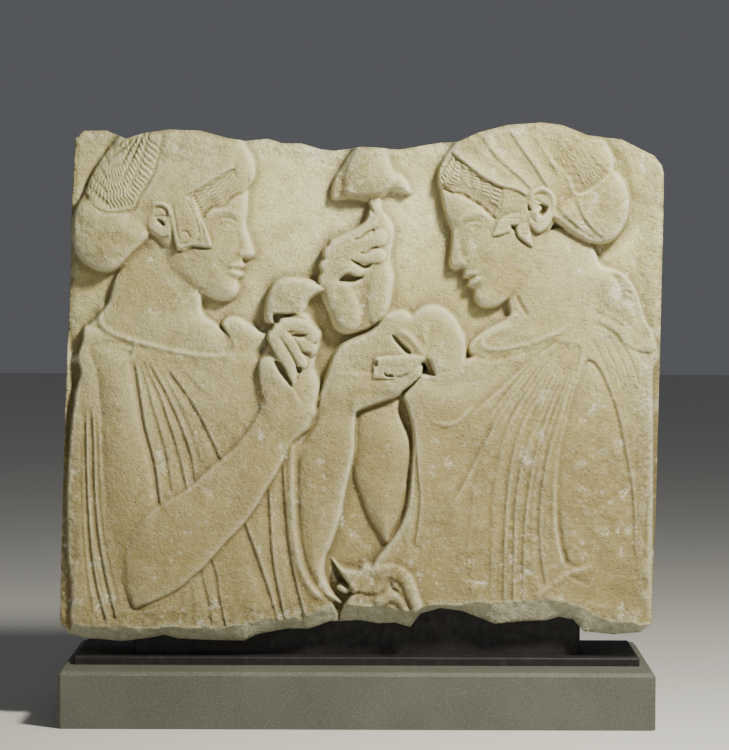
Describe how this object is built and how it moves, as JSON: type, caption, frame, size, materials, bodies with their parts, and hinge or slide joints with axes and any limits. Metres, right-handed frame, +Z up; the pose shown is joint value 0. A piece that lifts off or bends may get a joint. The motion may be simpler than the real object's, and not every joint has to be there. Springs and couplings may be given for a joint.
{
  "type": "carved stone stele",
  "caption": "Broken marble grave slab in low relief, with women facing each other and holding flowers, bedded on a dark block and plate on a stone plinth.",
  "frame": {"origin": "middle of the plinth's underside", "axes": "+Z up, -Y out of the carved face, +X to the right as seen from the carved side"},
  "size_m": [0.661, 0.28, 0.6578],
  "materials": {
    "marble": "worn, weathered beige marble with ochre patina and chips",
    "block_paint": "satin near-black",
    "plate_paint": "satin near-black, brighter at its chamfers",
    "plinth_stone": "fine-grained grey-green stone, honed, with small chamfers"
  },
  "bodies": {
    "root": {"stele": "marble", "support_block": "block_paint", "base_plate": "plate_paint", "plinth": "plinth_stone"}
  },
  "joints": []
}
